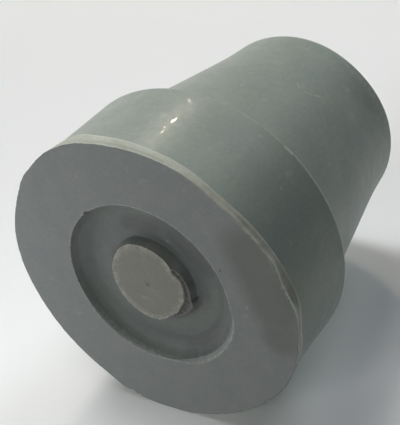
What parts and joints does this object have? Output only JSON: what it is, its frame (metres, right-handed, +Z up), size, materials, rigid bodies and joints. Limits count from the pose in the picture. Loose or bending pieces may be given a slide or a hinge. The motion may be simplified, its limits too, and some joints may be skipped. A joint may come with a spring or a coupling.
{
  "type": "rubber cane tip",
  "caption": "Moulded rubber foot that presses onto the end of a walking cane: thick collar, flared neck, blind bore and a ring-shaped tread.",
  "frame": {"origin": "middle of the tread, where the tip stands on the ground", "axes": "+Z up the tip's axis, from the tread to the mouth that the cane goes into; -X towards the side of the foot that is trimmed"},
  "size_m": [0.0385, 0.0388, 0.0394],
  "materials": {
    "rubber": "semi-matte moulded grey-green rubber"
  },
  "bodies": {
    "root": {"cane_tip": "rubber"}
  },
  "joints": []
}
